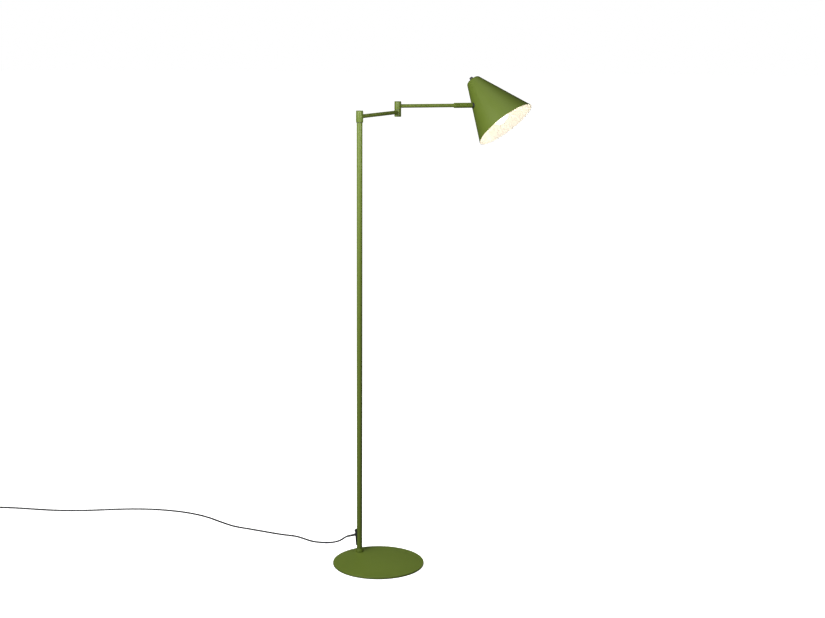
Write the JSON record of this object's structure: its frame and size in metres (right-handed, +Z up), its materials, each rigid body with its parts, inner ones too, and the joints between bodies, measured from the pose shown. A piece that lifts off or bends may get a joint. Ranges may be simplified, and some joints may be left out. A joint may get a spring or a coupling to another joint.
{
  "type": "arm floor lamp",
  "caption": "Floor lamp: a disc base and post carry two swinging arms, with a cone shade that turns on the last arm and a knob switch on its top.",
  "frame": {"origin": "on the floor at the middle of the round base", "axes": "+Z up, +X to the right and +Y away from the front, with the post standing behind and left of the middle"},
  "size_m": [1.7609, 0.6439, 1.3716],
  "materials": {
    "coated_steel": "satin powder coat, olive green",
    "coated_shade": "satin powder coat, olive green outside, white inside",
    "bare_steel": "zinc plated",
    "nylon": "natural nylon",
    "black_plastic": "moulded, fine grain",
    "holder_plastic": "moulded, smooth",
    "pad_rubber": "matt foam rubber",
    "cord_sheath": "matt sheath",
    "nickel": "nickel plated",
    "contact_brass": "plain",
    "bulb_glass": "frosted"
  },
  "bodies": {
    "base": {"floor_pad": "pad_rubber", "base_plate": "coated_steel", "foot_screw": "bare_steel", "foot_insert": "bare_steel", "foot_collar": "coated_steel", "post": "coated_steel", "cord_outlet": "black_plastic", "outlet_screw": "bare_steel", "strain_relief": "black_plastic", "post_cable": "cord_sheath", "shoulder_insert": "bare_steel", "shoulder_spindle": "bare_steel", "shoulder_stop_pin": "bare_steel", "shoulder_washer": "nylon", "shoulder_friction_washer": "nylon", "shoulder_spring_washer": "bare_steel", "shoulder_nut": "bare_steel", "cord_run": "cord_sheath", "cord_coil": "cord_sheath", "cord_tie": "black_plastic", "cord_tail": "cord_sheath", "plug_body": "black_plastic", "plug_pins": "nickel"},
    "arm_1": {"shoulder_housing": "coated_steel", "shoulder_cap": "coated_steel", "arm_1_tube": "coated_steel", "arm_1_cable": "cord_sheath", "elbow_lower_housing": "coated_steel", "elbow_bottom_cap": "coated_steel", "elbow_spindle": "bare_steel", "elbow_stop_pin": "bare_steel", "elbow_washer": "nylon", "elbow_friction_washer": "nylon", "elbow_nut": "bare_steel"},
    "arm_2": {"elbow_upper_housing": "coated_steel", "elbow_top_cap": "coated_steel", "arm_2_tube": "coated_steel", "arm_2_cable": "cord_sheath", "arm_2_collar": "coated_steel", "swivel_sleeve": "coated_steel"},
    "shade": {"swivel_spindle": "bare_steel", "swivel_friction_washer": "nylon", "swivel_spring_washer": "bare_steel", "swivel_nut": "bare_steel", "swivel_ring": "black_plastic", "shade_shell": "coated_shade", "shade_inner_washer": "nylon", "shade_nut": "bare_steel", "switch_body": "holder_plastic", "switch_ring_nut": "black_plastic", "lamp_holder": "holder_plastic", "holder_contact": "contact_brass", "holder_cable": "cord_sheath", "bulb_cap": "nickel", "bulb_tip": "contact_brass", "bulb_globe": "bulb_glass"},
    "switch": {"switch_knob": "black_plastic", "switch_shaft": "bare_steel"}
  },
  "joints": [
    {"name": "shoulder_swing", "type": "hinge", "parent": "base", "child": "arm_1", "pos_m": [-0.05713, 0.08159, 1.2684], "axis": [0, 0, 1], "range_deg": [-285, 39]},
    {"name": "elbow_swing", "type": "hinge", "parent": "arm_1", "child": "arm_2", "pos_m": [0.04566, 0.33989, 1.2763], "axis": [0, 0, 1], "range_deg": [-92.7, 187.3]},
    {"name": "shade_roll", "type": "hinge", "parent": "arm_2", "child": "shade", "pos_m": [0.26627, 0.42457, 1.2863], "axis": [0.9336, 0.3584, 0], "range_deg": [-131, 199]},
    {"name": "switch_turn", "type": "hinge", "parent": "shade", "child": "switch", "pos_m": [0.27372, 0.47576, 1.35383], "axis": [-0.5768, 0.3173, 0.7527], "range_deg": [0, 90]}
  ]
}
